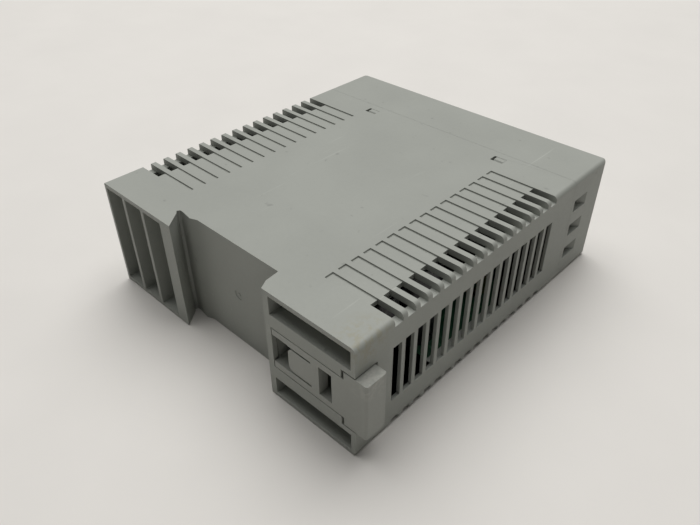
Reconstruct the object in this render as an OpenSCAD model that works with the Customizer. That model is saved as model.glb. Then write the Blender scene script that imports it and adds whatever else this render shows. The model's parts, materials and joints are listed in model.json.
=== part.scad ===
// Slim DIN rail power supply, lying on its side.
// X runs across the rail from the fixed hook side to the latch side, Y runs from the rail
// to the front panel, and Z runs along the rail. The origin is the middle of the rail seat.

/* [Enclosure] */
// Height of the device, from the fixed hook side to the latch side
dev_h = 99; // [96:1:125]
// Depth of the device, from the rear face to the front panel
dev_d = 111.4; // [106:0.2:140]
// Width of the device along the rail
dev_w = 35; // [34:0.5:45]
// Wall thickness of the housing and the cap
wall = 1.8; // [1.5:0.1:2.2]
// Radius of the long outer edges on the latch side
edge_r = 1.4; // [0.6:0.1:2]
// Radius of the long outer edges on the hook side
hook_edge_r = 0.4; // [0.3:0.1:1.5]
// Depth of the front cap, from the seam to the front panel
cap_d = 18.5; // [18.5:0.5:24]

/* [Rail] */
// Width of the rail that the device clips to
rail_w = 35; // [35:1:36]
// Thickness of the rail's lips
rail_t = 1; // [1:0.1:1.5]
// Height of the device above the middle of the rail, on the fixed hook side
hook_side = 46; // [44:0.5:50]
// Depth of the rail seat below the rear face
seat_d = 6.8; // [6.5:0.1:8]

/* [Vents] */
// Distance between neighbouring slots
vent_pitch = 4.41; // [4:0.01:5.5]
// Width of a slot in the narrow sides
vent_slot = 3.05; // [2:0.05:3.4]
// Height of a slot in the narrow sides
vent_h = 17.6; // [8:0.2:19]
// Wall left around the slots of the narrow sides
vent_wall = 1; // [0.8:0.05:1.5]
// Width of a slot in the long edges
edge_slot = 2.75; // [1.5:0.05:3]
// Depth that a slot in the long edges goes below the broad wall
edge_below = 0.2; // [0.1:0.05:0.8]
// Length of the open part of a slot in the long edges
edge_open = 7.7; // [5:0.1:9]
// Length of the shallow recess that carries each slot on
edge_run = 14.1; // [6:0.1:16]
// Depth of the shallow recess
recess_d = 0.45; // [0.2:0.05:0.8]

/* [Latch] */
// Distance that the latch slides out
latch_travel = 3; // [2.5:0.1:3.2]
// Half width of the latch plate
latch_half = 6.4; // [5.4:0.1:7.7]
// Half width of the latch head
head_half = 8.7; // [8:0.1:9]
// Distance that the latch head stands out of the narrow side
head_out = 3.45; // [2:0.05:5]
// Gap at each side of the latch plate
latch_gap = 0.22; // [0.15:0.01:0.5]

/* [Terminals] */
// Number of poles in each terminal block
poles = 3; // [3:1:3]
// Distance between neighbouring poles
pole_pitch = 8.5; // [7:0.1:9]
// Radius of a terminal screw's shank
screw_r = 1.5; // [1.2:0.05:1.6]
// Radius of a terminal screw's head
screw_head_r = 2.6; // [2.3:0.05:2.8]
// Distance that a clamp cage rises
clamp_travel = 3; // [2:0.1:3]

/* [Circuit] */
// Thickness of the circuit boards
board_t = 1.6; // [1.2:0.1:2]
// Height of the main board's underside above the broad wall
board_lift = 2.6; // [2:0.1:3.5]
// Diameter of a bulk capacitor
bulk_dia = 16; // [12:0.5:18]
// Height of a bulk capacitor
bulk_len = 25; // [20:0.5:25]
// Diameter of an output capacitor
out_dia = 10; // [8:0.5:12]
// Height of an output capacitor
out_len = 20; // [16:0.5:24]
// Running clearance around a turning shaft
run_gap = 0.06; // [0.03:0.01:0.1]

/* [Hidden] */

$fn = 48;
// Overshoot of a cutting solid past the face that it cuts
over = 1;

// Colours
grey = [0.63, 0.64, 0.61];
board_green = [0.08, 0.30, 0.16];
steel = [0.72, 0.72, 0.70];
brass = [0.78, 0.66, 0.38];
copper = [0.72, 0.38, 0.18];
black = [0.08, 0.08, 0.09];
ferrite = [0.16, 0.16, 0.17];
sleeve = [0.06, 0.06, 0.07];
aluminium = [0.75, 0.76, 0.77];
terminal_grey = [0.20, 0.21, 0.20];

// Outer faces of the device
x_lo = -hook_side;
x_hi = dev_h - hook_side;
x_mid = (x_lo + x_hi) / 2;
y_rear = -seat_d;
y_front = dev_d - seat_d;
y_seam = y_front - cap_d;
z_hi = dev_w / 2;

// Inner faces of the walls
xi_lo = x_lo + wall;
xi_hi = x_hi - wall;
zi = z_hi - wall;
y_panel = y_front - wall;

// Rail notch
rail_half = rail_w / 2;
hook_tip_x = -rail_half + 4.1;
hook_root_x = -rail_half - 0.25;
notch_hi = rail_half + 4.55;
notch_lead = 1.35;
lead_d = 2.6;
lip_rise = 0.3;
lip_run = 0.9;
ridge_x = -rail_half + 4.85;
ridge_h = 0.85;
ridge_run = 2.2;

// Rear pockets
pocket_floor = 1.4;
cavity_y = pocket_floor + wall;
rim = 1;
pocket_half = z_hi - rim - 0.35;
hook_pocket_w = 8;
hook_pocket_pitch = 9.35;
hook_pockets = 3;
side_rim = 1.35;
latch_pocket_z = 10.65;
latch_pocket_x = notch_hi + notch_lead + 2;

// Latch channel and latch
bar_end = notch_hi + notch_lead + 2;
bar_t = 1.5;
channel_floor = 0.4;
step_x = x_hi - 4.3;
head_x = step_x + 0.8;
plate_t = 3;
tail_y = y_rear + bar_t + 0.3;
tongue_x = bar_end + 5.7;
tongue_root = tongue_x + 7.75;
tongue_half = 3.65;
tongue_t = 1.6;
slit = 0.55;
window_half = 4.4;
tool_slot_x = x_hi - 11.5;
tool_slot_w = 4.1;
catch_len = 1.9;
stop_x = tongue_x + catch_len + latch_travel + 0.4;
stop_t = 1.4;
nose_y = -rail_t - 0.1;
nose_x = rail_half - 0.9;
nose_tip = 0.5;
flange = 0.7;
groove_top = y_rear + 1.7;
groove_bottom = y_rear + plate_t + 0.2;
head_d = seat_d - 0.2;
head_corner = 0.7;

// Snap hooks of the cap
snap_x = 25.55;
snap_w = 4.2;
snap_len = 2.7;
snap_back = 5.5;
snap_gap = 0.8;
ramp_len = 1;
snap_y = y_seam - snap_back;
arm_t = 1.2;
arm_gap = 0.1;

// Vents
vent_y = 5.75;
vent_mid = 0.4;
edge_y = vent_y + 0.27;
strip_t = 0.7;
strip_h = 1.2;
vents = floor((snap_y - vent_y) / vent_pitch);

// Boards
board_z = -zi + board_lift;
deck_z = board_z + board_t;
board_gap = 0.3;
front_board_y = y_seam - 0.5 - board_t;
term_y = front_board_y + board_t;
front_board_half = zi - 1.5;
rail_rib = 1.8;
rail_rib_t = 1.3;

// Terminal blocks, measured inward from the narrow side and forward from the front board
boss_t = 1.4;
term_out = wall + boss_t + 0.2;
term_depth = 12.4;
term_side = 0.7;
term_half = poles * pole_pitch / 2 + term_side;
cell_out = 1.2;
cell_depth = 7;
cell_half = pole_pitch / 2 - 0.7;
cell_top = 12;
shoulder_t = 1;
head_t = 1.8;
head_gap = 0.2;
entry_y = 2;
entry_open = 7.4;
entry_deep = 3.7;
cage_half = cell_half - 0.25;
cage_depth = 5.8;
cage_wall = 0.9;
cage_foot = 0.5;
cage_bar = 1.6;
cage_h = cell_top - clamp_travel - cage_foot - 0.1;
contact_t = 0.8;
contact_y = cage_foot + cage_h - cage_bar - 0.2 - contact_t;
contact_half = cage_half - cage_wall - 0.4;
entry_half = contact_half;
leg_out = 1.1;
bar_past = 0.2;
screw_slot = 0.8;
access_r = 2.2;

// Front panel
plate_w = 40;
plate_h = 20;
plate_depth = 0.8;
led_x = x_mid - 26;
led_z = 7;
led_r = 1.5;
trim_x = x_mid - 26;
trim_z = -5;
trim_r = 2;
trim_side = 9.5;
trim_len = 6;

// Box from its lowest corner to its highest corner
module span(lo, hi) {
    translate(lo) cube(hi - lo);
}

// Rectangle with round corners, centred
module round_rect(w, h, r) {
    square([w - 2 * r, h], center = true);
    square([w, h - 2 * r], center = true);
    for (sx = [-1, 1], sy = [-1, 1])
        translate([sx * (w / 2 - r), sy * (h / 2 - r)]) circle(r = r);
}

// Rectangle with one radius on its low X corners and another on its high X corners
module uneven_rect(w, h, r_lo, r_hi) {
    square([w - 2 * max(r_lo, r_hi), h], center = true);
    for (side = [[-1, r_lo], [1, r_hi]]) {
        s = side[0];
        r = side[1];
        translate([s * w / 4, 0]) square([w / 2, h - 2 * r], center = true);
        translate([s * (w / 4 - r / 2), 0]) square([w / 2 - r, h], center = true);
        for (sy = [-1, 1])
            translate([s * (w / 2 - r), sy * (h / 2 - r)]) circle(r = r);
    }
}

// Outline in the plane of the narrow cross section, carried forward from y0 to y1
module along_y(y0, y1) {
    translate([0, y0, 0]) rotate([-90, 0, 0]) linear_extrude(y1 - y0) children();
}

// Upright pin or disc standing on the main board
module upright(r, len) {
    translate([0, 0, deck_z]) cylinder(r = r, h = len);
}

// Outer block of the enclosure between two depths, less an inset
module shell_block(y0, y1, inset = 0) {
    translate([x_mid, 0, 0])
        along_y(y0, y1)
            uneven_rect(dev_h - 2 * inset, dev_w - 2 * inset, hook_edge_r - inset / 2, edge_r - inset / 2);
}

// ---------- Housing ----------

// Space that the rail takes, with the hook undercut, the ridge and the lead-in
module rail_notch() {
    translate([0, 0, -z_hi - over]) linear_extrude(dev_w + 2 * over)
        polygon([
            [hook_tip_x - 0.6, y_rear - over],
            [hook_tip_x, y_rear],
            [-rail_half + 0.17, -1.72],
            [hook_root_x - 0.45, -1.12],
            [hook_root_x, -lip_rise],
            [hook_root_x + lip_run, -lip_rise + 0.05],
            [ridge_x, -ridge_h],
            [ridge_x + ridge_run, 0],
            [notch_hi - 0.45, 0],
            [notch_hi, y_rear + lead_d],
            [notch_hi + notch_lead, y_rear],
            [notch_hi + notch_lead, y_rear - over]
        ]);
}

// Space that holds the circuit
module cavity() {
    span([xi_lo, cavity_y, -zi], [xi_hi, y_seam + over, zi]);
    span([hook_root_x + 3, wall, -zi], [notch_hi - 3, cavity_y + over, zi]);
}

// Open cores in the rear face
module rear_pockets() {
    for (i = [0 : hook_pockets - 1])
        translate([x_lo + rim + i * hook_pocket_pitch, 0, 0])
            span([0, y_rear - over, -pocket_half], [hook_pocket_w, pocket_floor, pocket_half]);
    for (s = [0, 1])
        mirror([0, 0, s])
            span([latch_pocket_x, y_rear - over, latch_pocket_z],
                [x_hi - side_rim, pocket_floor, pocket_half]);
}

// Guideway of the latch, which leaves a bar across its inner end
module latch_channel() {
    half = latch_half + latch_gap;
    span([nose_x, y_rear + bar_t, -half], [step_x, channel_floor, half]);
    span([bar_end, y_rear - over, -half], [step_x, channel_floor, half]);
    span([step_x - 0.01, y_rear - over, -head_half - 0.3], [x_hi + over, channel_floor, head_half + 0.3]);
    span([tongue_x, groove_top, -latch_half - flange - 0.3],
        [step_x, groove_bottom, latch_half + flange + 0.3]);
}

// Shallow pocket inside each narrow side that thins the wall around its slots
module vent_relief() {
    margin = 1;
    y_end = vent_y + (vents - 1) * vent_pitch + vent_slot;
    for (s = [0, 1])
        translate([x_mid, 0, 0]) mirror([s, 0, 0])
            span([dev_h / 2 - wall - over, vent_y - margin, vent_mid - vent_h / 2 - margin],
                [dev_h / 2 - vent_wall, y_end + margin, vent_mid + vent_h / 2 + margin]);
}

// Slots of the narrow sides and of the long edges
module vent_cuts() {
    for (k = [0 : vents - 1], s = [0, 1])
        translate([x_mid, k * vent_pitch, 0]) mirror([s, 0, 0]) {
            side_x = dev_h / 2;
            span([side_x - wall - 0.5, vent_y, vent_mid - vent_h / 2],
                [side_x + over, vent_y + vent_slot, vent_mid + vent_h / 2]);
            for (f = [0, 1]) mirror([0, 0, f]) {
                span([side_x - edge_open, edge_y, zi - edge_below],
                    [side_x + over, edge_y + edge_slot, z_hi + over]);
                span([side_x - edge_open - edge_run, edge_y, z_hi - recess_d],
                    [side_x - edge_open + over, edge_y + edge_slot, z_hi + over]);
            }
        }
}

// Windows that the cap's snap hooks click into
module snap_windows() {
    for (sx = [-1, 1], f = [0, 1])
        translate([x_mid + sx * snap_x, 0, 0]) mirror([0, 0, f])
            span([-snap_w / 2, snap_y, zi - over], [snap_w / 2, snap_y + snap_len, z_hi + over]);
}

// Thicker strips along the edges of the narrow sides, which the edge slots end on
module edge_strips() {
    for (s = [0, 1], f = [0, 1])
        translate([x_mid, 0, 0]) mirror([s, 0, 0]) mirror([0, 0, f])
            span([dev_h / 2 - wall - strip_t, cavity_y, zi - edge_below - strip_h],
                [dev_h / 2 - wall + 0.5, edge_y + vents * vent_pitch, zi + 0.5]);
}

// Ribs inside the narrow sides that the main board slides between
module board_guides() {
    for (s = [0, 1])
        translate([x_mid, 0, 0]) mirror([s, 0, 0]) {
            inner = dev_h / 2 - wall;
            span([inner - rail_rib, cavity_y, board_z - rail_rib_t], [inner + 0.5, front_board_y, board_z]);
            span([inner - rail_rib, cavity_y, deck_z + 0.1],
                [inner + 0.5, front_board_y, deck_z + 0.1 + rail_rib_t]);
        }
}

module housing() {
    gate_x = 4;
    gate_r = 1.5;
    gate_d = 0.2;
    nub_r = 0.5;
    color(grey) difference() {
        union() {
            difference() {
                shell_block(y_rear, y_seam);
                cavity();
            }
            board_guides();
            edge_strips();
        }
        rail_notch();
        rear_pockets();
        latch_channel();
        vent_relief();
        vent_cuts();
        snap_windows();
        translate([gate_x, -over, 0]) rotate([-90, 0, 0]) difference() {
            cylinder(r = gate_r, h = over + gate_d);
            cylinder(r = nub_r, h = over + gate_d);
        }
    }
    // Rib that stops the latch from being pulled right out
    color(grey)
        span([stop_x, y_rear + tongue_t + 0.3, -tongue_half + 0.65],
            [stop_x + stop_t, channel_floor + 0.1, tongue_half - 0.65]);
}

// ---------- Front cap ----------

// Funnel that leads a wire into one pole
module wire_funnel() {
    linear_extrude(2 * entry_half, center = true)
        polygon([
            [over, term_y + entry_y],
            [over, term_y + entry_y + entry_open],
            [0, term_y + entry_y + entry_open],
            [-wall - boss_t - over, term_y + entry_y + entry_deep - 1],
            [-wall - boss_t - over, term_y + entry_y]
        ]);
}

// One snap hook, at the +Z wall: an arm, and a nose that rises towards the front
module snap_hook() {
    tip = snap_y + 0.1;
    catch_y = snap_y + snap_len - 0.05;
    flush = 0.05;
    dip = 1;
    root = 3;
    low = zi - arm_gap - arm_t;
    lo_x = -snap_w / 2 + snap_gap;
    hi_x = snap_w / 2 - 0.05;
    span([lo_x, tip, low], [hi_x, y_seam + root, zi - arm_gap]);
    span([lo_x, y_seam, low], [hi_x, y_seam + root, zi + 0.5]);
    translate([lo_x, 0, 0]) rotate([90, 0, 90]) linear_extrude(hi_x - lo_x)
        polygon([
            [tip, low],
            [tip, z_hi - dip],
            [tip + ramp_len, z_hi - flush],
            [catch_y, z_hi - flush],
            [catch_y, low]
        ]);
}

// Step round the seam that shows as a hairline
module seam_line() {
    seam_w = 0.06;
    seam_d = 0.06;
    difference() {
        span([x_lo - over, y_seam - over, -z_hi - over], [x_hi + over, y_seam + seam_w, z_hi + over]);
        shell_block(y_seam - 2 * over, y_seam + 2 * seam_w, seam_d);
    }
}

module front_cap() {
    color(grey) difference() {
        union() {
            difference() {
                intersection() {
                    shell_block(y_seam, y_front);
                    linear_extrude(dev_w + over, center = true)
                        translate([x_mid, y_front - dev_d / 2]) round_rect(dev_h, dev_d, edge_r);
                }
                span([xi_lo, y_seam - over, -zi], [xi_hi, y_panel, zi]);
            }
            for (s = [0, 1])
                translate([x_mid, 0, 0]) mirror([s, 0, 0])
                    span([dev_h / 2 - wall - boss_t, y_seam + 0.6, -term_half],
                        [dev_h / 2 - wall + 0.5, term_y + entry_y + entry_open + 1.4, term_half]);
            for (sx = [-1, 1], f = [0, 1])
                translate([x_mid + sx * snap_x, 0, 0]) mirror([0, 0, f]) snap_hook();
        }
        seam_line();
        for (i = [1 : poles]) {
            translate([x_hi, 0, pole_z(i)]) wire_funnel();
            translate([x_lo, 0, pole_z(i)]) mirror([1, 0, 0]) wire_funnel();
        }
        for (s = [0, 1], i = [1 : poles])
            translate([pole_x(s), y_panel - over, pole_z(i)])
                rotate([-90, 0, 0]) cylinder(r = access_r, h = wall + 2 * over);
        translate([led_x, y_panel - over, led_z])
            rotate([-90, 0, 0]) cylinder(r = led_r + 0.05, h = wall + 2 * over);
        translate([trim_x, y_panel - over, trim_z])
            rotate([-90, 0, 0]) cylinder(r = trim_r + 0.3, h = wall + 2 * over);
        span([x_mid - plate_w / 2, y_front - plate_depth, -plate_h / 2],
            [x_mid + plate_w / 2, y_front + over, plate_h / 2]);
    }
}

module marking_plate() {
    slack = 0.1;
    color([0.86, 0.86, 0.84])
        translate([x_mid, 0, 0])
            along_y(y_front - plate_depth, y_front - 0.05)
                round_rect(plate_w - 2 * slack, plate_h - 2 * slack, 0.5);
}

led_len = 3.4;
led_foot = 1;
led_lip = 0.35;

module status_led() {
    color([0.35, 0.75, 0.35]) translate([led_x, term_y, led_z]) rotate([-90, 0, 0]) {
        cylinder(r = led_r + led_lip, h = led_foot);
        cylinder(r = led_r, h = led_len);
        translate([0, 0, led_len]) sphere(r = led_r);
    }
}

// Light pipe with a collar behind the panel
module led_lens() {
    start = term_y + led_len + led_r;
    collar_t = 1;
    collar = 0.8;
    color([0.75, 0.95, 0.75]) translate([led_x, 0, led_z]) {
        translate([0, start, 0]) rotate([-90, 0, 0]) cylinder(r = led_r, h = y_front - start);
        translate([0, y_panel - collar_t, 0]) rotate([-90, 0, 0])
            cylinder(r = led_r + collar, h = collar_t);
    }
}

// ---------- Latch ----------

module latch_plate() {
    difference() {
        union() {
            // Flush plate and head
            span([bar_end + 0.3, y_rear, -latch_half], [head_x + 0.5, y_rear + plate_t, latch_half]);
            // Flanges that hold the plate in its groove
            span([tongue_x + 2, groove_top + 0.2, -latch_half - flange],
                [step_x - latch_travel - 0.8, y_rear + plate_t, latch_half + flange]);
            // Tail under the housing's bar
            span([nose_x + 5.3, tail_y, -latch_half], [tongue_x, nose_y, latch_half]);
        }
        // Window beside the tongue
        span([bar_end - 0.1, y_rear - over, -window_half], [tongue_x, over, window_half]);
        // Slits beside the tongue and relief under it
        for (s = [0, 1]) mirror([0, 0, s])
            span([tongue_x - over, y_rear - over, tongue_half], [tongue_root, over, tongue_half + slit]);
        span([tongue_x - over, y_rear + tongue_t, -tongue_half - 0.1], [tongue_root, over, tongue_half + 0.1]);
        // Slot for a screwdriver
        span([tool_slot_x, y_rear - over, -window_half - 0.1],
            [tool_slot_x + tool_slot_w, over, window_half + 0.1]);
        // Round corners at the free end of the tongue
        tongue_corners();
    }
}

// Waste outside the two round corners of the tongue
module tongue_corners() {
    corner = 1.7;
    for (s = [0, 1]) mirror([0, 0, s])
        translate([tongue_x, y_rear - 0.5, tongue_half - corner]) difference() {
            span([-0.1, 0, 0], [corner, tongue_t + 1, corner + 0.1]);
            translate([corner, -over, 0]) rotate([-90, 0, 0]) cylinder(r = corner, h = tongue_t + 4);
        }
}

module latch_nose() {
    translate([0, 0, -latch_half]) linear_extrude(2 * latch_half)
        polygon([
            [nose_x, nose_y],
            [nose_x, nose_y - nose_tip],
            [nose_x + 5.3, tail_y],
            [bar_end - 0.1, tail_y],
            [bar_end - 0.1, nose_y]
        ]);
}

module latch_head() {
    len = x_hi + head_out - head_x;
    translate([head_x, y_rear, -head_half]) linear_extrude(2 * head_half) {
        square([len - head_corner, head_d]);
        translate([0, head_corner]) square([len, head_d - 2 * head_corner]);
        for (y = [head_corner, head_d - head_corner])
            translate([len - head_corner, y]) circle(r = head_corner);
    }
}

module din_latch() {
    color(grey) {
        latch_plate();
        latch_nose();
        latch_head();
        // Catch under the free end of the tongue
        span([tongue_x, y_rear + tongue_t - 0.1, -1.9],
            [tongue_x + catch_len, y_rear + tongue_t + 1.8, 1.9]);
    }
}

// ---------- Boards ----------

module main_board() {
    color(board_green)
        span([xi_lo + board_gap, cavity_y + 1, board_z], [xi_hi - board_gap, front_board_y, deck_z]);
}

module front_board() {
    color(board_green)
        span([xi_lo + board_gap, front_board_y, -front_board_half],
            [xi_hi - board_gap, term_y, front_board_half]);
}

module board_header() {
    pins = 10;
    pin_pitch = 2.54;
    header_d = 5;
    header_h = 2.5;
    color(black)
        span([x_mid - pins * pin_pitch / 2, front_board_y - header_d, deck_z],
            [x_mid + pins * pin_pitch / 2, front_board_y, deck_z + header_h]);
}

module insulating_sheet() {
    side = 9;
    rear = 2;
    front = 4;
    sheet_t = 0.4;
    color([0.85, 0.80, 0.65])
        span([x_lo + side, cavity_y + rear, -zi], [x_hi - side, front_board_y - front, -zi + sheet_t]);
}

// ---------- Terminal blocks ----------

// Height of one pole
function pole_z(i) = (i - (poles + 1) / 2) * pole_pitch;

// Middle of the clamp cells, on the latch side for 0 and on the hook side for 1
function pole_x(s) = x_mid + (s == 0 ? 1 : -1) * cell_mid;
cell_mid = dev_h / 2 - term_out - cell_out - cell_depth / 2;

// Places its children on the latch side for 0 and on the hook side for 1
module on_side(s) {
    translate([x_mid, term_y, 0]) mirror([s, 0, 0]) children();
}

module terminal_body(s) {
    outer = dev_h / 2 - term_out;
    inner = outer - term_depth;
    cell_hi = outer - cell_out;
    cell_lo = cell_hi - cell_depth;
    slack = 0.1;
    shank_gap = 0.15;
    color(terminal_grey) on_side(s) difference() {
        span([inner, 0, -term_half], [outer, y_panel - term_y, term_half]);
        for (i = [1 : poles]) translate([0, 0, pole_z(i)]) {
            span([cell_lo, -over, -cell_half], [cell_hi, cell_top, cell_half]);
            span([cell_lo - leg_out, -over, -contact_half - slack],
                [cell_lo + over, contact_y + contact_t + slack, contact_half + slack]);
            span([cell_hi - over, entry_y, -entry_half],
                [outer + over, entry_y + entry_deep, entry_half]);
            translate([cell_mid, cell_top - over, 0]) rotate([-90, 0, 0])
                cylinder(r = screw_r + shank_gap, h = shoulder_t + 2 * over);
            translate([cell_mid, cell_top + shoulder_t, 0]) rotate([-90, 0, 0])
                cylinder(r = screw_head_r + head_gap, h = y_panel);
        }
    }
}

// Bars that the wires are clamped against, one for each pole
module contacts(s) {
    bar_hi = cell_mid + cage_depth / 2 + bar_past;
    leg_x = cell_mid - cell_depth / 2 - leg_out;
    color(brass) on_side(s) for (i = [1 : poles]) translate([0, 0, pole_z(i)]) {
        span([leg_x, contact_y, -contact_half], [bar_hi, contact_y + contact_t, contact_half]);
        span([leg_x, 0, -contact_half], [leg_x + contact_t, contact_y + contact_t, contact_half]);
    }
}

module clamp_cage(s, i) {
    lo = cell_mid - cage_depth / 2;
    hi = cell_mid + cage_depth / 2;
    color(steel) on_side(s) translate([0, cage_foot, pole_z(i)]) difference() {
        span([lo, 0, -cage_half], [hi, cage_h, cage_half]);
        span([lo - over, cage_wall, -cage_half + cage_wall],
            [hi + over, cage_h - cage_bar, cage_half - cage_wall]);
        translate([cell_mid, cage_h - cage_bar - over, 0]) rotate([-90, 0, 0])
            cylinder(r = screw_r + run_gap, h = cage_bar + 2 * over);
    }
}

module terminal_screw(s, i) {
    tip = contact_y + contact_t + 0.1;
    head_y = cell_top + shoulder_t;
    color(steel) on_side(s) translate([cell_mid, 0, pole_z(i)]) difference() {
        union() {
            translate([0, tip, 0]) rotate([-90, 0, 0]) cylinder(r = screw_r, h = head_y - tip + 0.1);
            translate([0, head_y, 0]) rotate([-90, 0, 0]) cylinder(r = screw_head_r, h = head_t);
        }
        span([-screw_head_r - over, head_y + head_t - 1, -screw_slot / 2],
            [screw_head_r + over, head_y + head_t + over, screw_slot / 2]);
    }
}

// ---------- Mains filter ----------

fuse_x = xi_hi - 10;
fuse_y = front_board_y - 20;
fuse_r = 2.5;
fuse_len = 20;
fuse_cap = 5;
fuse_z = deck_z + 5;

module fuse_tube() {
    cap_t = 0.1;
    glass_t = 0.7;
    color([0.85, 0.90, 0.92, 0.5])
        translate([fuse_x, fuse_y - fuse_len / 2 + fuse_cap, fuse_z]) rotate([-90, 0, 0]) difference() {
            cylinder(r = fuse_r - cap_t, h = fuse_len - 2 * fuse_cap);
            translate([0, 0, -over]) cylinder(r = fuse_r - cap_t - glass_t, h = fuse_len);
        }
}

module fuse_caps() {
    color(steel) for (s = [0, 1]) translate([fuse_x, fuse_y, fuse_z]) mirror([0, s, 0])
        translate([0, fuse_len / 2 - fuse_cap, 0]) rotate([-90, 0, 0]) cylinder(r = fuse_r, h = fuse_cap);
}

module fuse_clips() {
    sheet_t = 0.6;
    inset = 0.8;
    lip = 0.4;
    jaw = 1.2;
    color(brass) for (s = [0, 1]) translate([fuse_x, fuse_y, 0]) mirror([0, s, 0])
        translate([0, fuse_len / 2 - fuse_cap + inset, 0]) difference() {
            span([-fuse_r - sheet_t, 0, deck_z], [fuse_r + sheet_t, fuse_cap - 2 * inset, fuse_z + jaw]);
            span([-fuse_r + lip, -over, deck_z + sheet_t], [fuse_r - lip, fuse_cap, fuse_z + jaw + over]);
            translate([0, -over, fuse_z]) rotate([-90, 0, 0]) cylinder(r = fuse_r, h = fuse_cap + 2 * over);
        }
}

// Radius of a wire that stands in the board
wire_r = 0.4;

// Round disc standing on two wires
module disc_part(r, t) {
    lead = 3;
    buried = 0.4;
    translate([0, t / 2, deck_z + lead + r]) rotate([90, 0, 0]) cylinder(r = r, h = t);
    for (s = [-1, 1]) translate([s * r / 2, 0, 0]) upright(wire_r, lead + r * buried);
}

disc_x = fuse_x - 12;
thermistor_r = 5;
thermistor_y = front_board_y - 6;
varistor_r = 6;
varistor_y = thermistor_y - 7;
disc_t = 4;

module inrush_thermistor() {
    color([0.12, 0.18, 0.14]) translate([disc_x, thermistor_y, 0]) disc_part(thermistor_r, disc_t);
}

module varistor() {
    color([0.06, 0.10, 0.22]) translate([disc_x, varistor_y, 0]) disc_part(varistor_r, disc_t);
}

x_cap_x = fuse_x - 13;
x_cap_y = front_board_y - 23.5;
x_cap_len = 18;
x_cap_w = 8.5;
x_cap_h = 15;

module x_capacitor() {
    color([0.16, 0.17, 0.18]) translate([x_cap_x, x_cap_y, 0])
        span([-x_cap_len / 2, -x_cap_w / 2, deck_z], [x_cap_len / 2, x_cap_w / 2, deck_z + x_cap_h]);
}

y_cap_x = x_mid + 4;
y_cap_y = front_board_y - 22;
y_cap_pitch = 7;
y_cap_r = 3.6;
y_cap_t = 3.2;

module y_capacitors() {
    color([0.06, 0.10, 0.22]) for (k = [0, 1])
        translate([y_cap_x, y_cap_y - y_cap_pitch * k, 0]) disc_part(y_cap_r, y_cap_t);
}

// Toroid on edge, its axis along Y
choke_x = x_mid + 8;
choke_y = front_board_y - 11;
choke_ro = 9;
choke_ri = 5;
choke_t = 7;
choke_wire = 1.1;
choke_z = deck_z + 2 + choke_ro + choke_wire;

// Band of the winding's outer shape over part of a toroid
module wound_band(ro, ri, t, wire, start, sweep) {
    rotate([0, 0, start]) rotate_extrude(angle = sweep) difference() {
        translate([ri - wire, -t / 2 - wire]) square([ro - ri + 2 * wire, t + 2 * wire]);
        translate([ri, -t / 2]) square([ro - ri, t]);
    }
}

module line_choke_base() {
    base_half = 7;
    base_d = 10;
    base_h = 4;
    color(black) translate([choke_x, choke_y, 0]) difference() {
        span([-base_half, -base_d / 2, deck_z], [base_half, base_d / 2, deck_z + base_h]);
        translate([0, -base_d / 2 - over, choke_z]) rotate([-90, 0, 0])
            cylinder(r = choke_ro + choke_wire, h = base_d + 2 * over);
    }
}

module line_choke_core() {
    color([0.15, 0.35, 0.20]) translate([choke_x, choke_y, choke_z]) rotate([90, 0, 0]) difference() {
        translate([0, 0, -choke_t / 2]) cylinder(r = choke_ro, h = choke_t);
        translate([0, 0, -choke_t / 2 - over]) cylinder(r = choke_ri, h = choke_t + 2 * over);
    }
}

module line_choke_windings() {
    sweep = 130;
    color(copper) translate([choke_x, choke_y, choke_z]) rotate([90, 0, 0])
        for (start = [-sweep / 2, 180 - sweep / 2])
            wound_band(choke_ro, choke_ri, choke_t, choke_wire, start, sweep);
}

// ---------- Primary side ----------

bridge_x = x_mid + 18;
bridge_y = front_board_y - 32;
bridge_len = 20;
bridge_t = 3.6;
bridge_h = 11;
bridge_lead = 3;
bridge_pitch = 5;

module bridge_rectifier() {
    color(black) translate([bridge_x, bridge_y, 0]) {
        span([-bridge_len / 2, -bridge_t / 2, deck_z + bridge_lead],
            [bridge_len / 2, bridge_t / 2, deck_z + bridge_lead + bridge_h]);
        for (k = [-1.5 : 1.5]) translate([k * bridge_pitch, 0, 0]) upright(wire_r + 0.1, bridge_lead + over);
    }
}

bulk_side = 6;
bulk_rear = 3;
bulk_gap = 1.5;
bulk_x = xi_hi - bulk_side - bulk_dia / 2;
bulk_y = cavity_y + bulk_rear + bulk_dia / 2;

// Electrolytic capacitor with a rolled groove and a scored top
module can_capacitor(dia, len) {
    groove = 0.35;
    groove_w = 1.2;
    groove_z = 2.2;
    rim_w = 0.8;
    top_d = 0.3;
    translate([0, 0, deck_z]) difference() {
        cylinder(d = dia, h = len);
        translate([0, 0, groove_z]) difference() {
            cylinder(d = dia + over, h = groove_w);
            translate([0, 0, -over]) cylinder(d = dia - 2 * groove, h = groove_w + 2 * over);
        }
        translate([0, 0, len - top_d]) cylinder(d = dia - 2 * rim_w, h = over);
    }
}

module bulk_capacitor(k) {
    color(sleeve) translate([bulk_x, bulk_y + (k - 1) * (bulk_dia + bulk_gap), 0])
        can_capacitor(bulk_dia, bulk_len);
}

// Heatsinks stand at the rear, each with a power device screwed to its front
sink_y = cavity_y + 2;
sink_t = 2;
sink_len = 22;
sink_h = 24;
switch_x = x_mid + 8;
rectifier_x = x_mid - 20;
tab_t = 1.2;
case_t = 4.4;
case_w = 10;
case_foot = 5;
case_below = 4.5;
tab_above = 3.5;
hole_z = deck_z + 19;
tie_r = 1.5;
tie_head_r = 2.8;
tie_head_t = 2;
fin_d = 8;
lead_pitch = 2.54;

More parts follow.
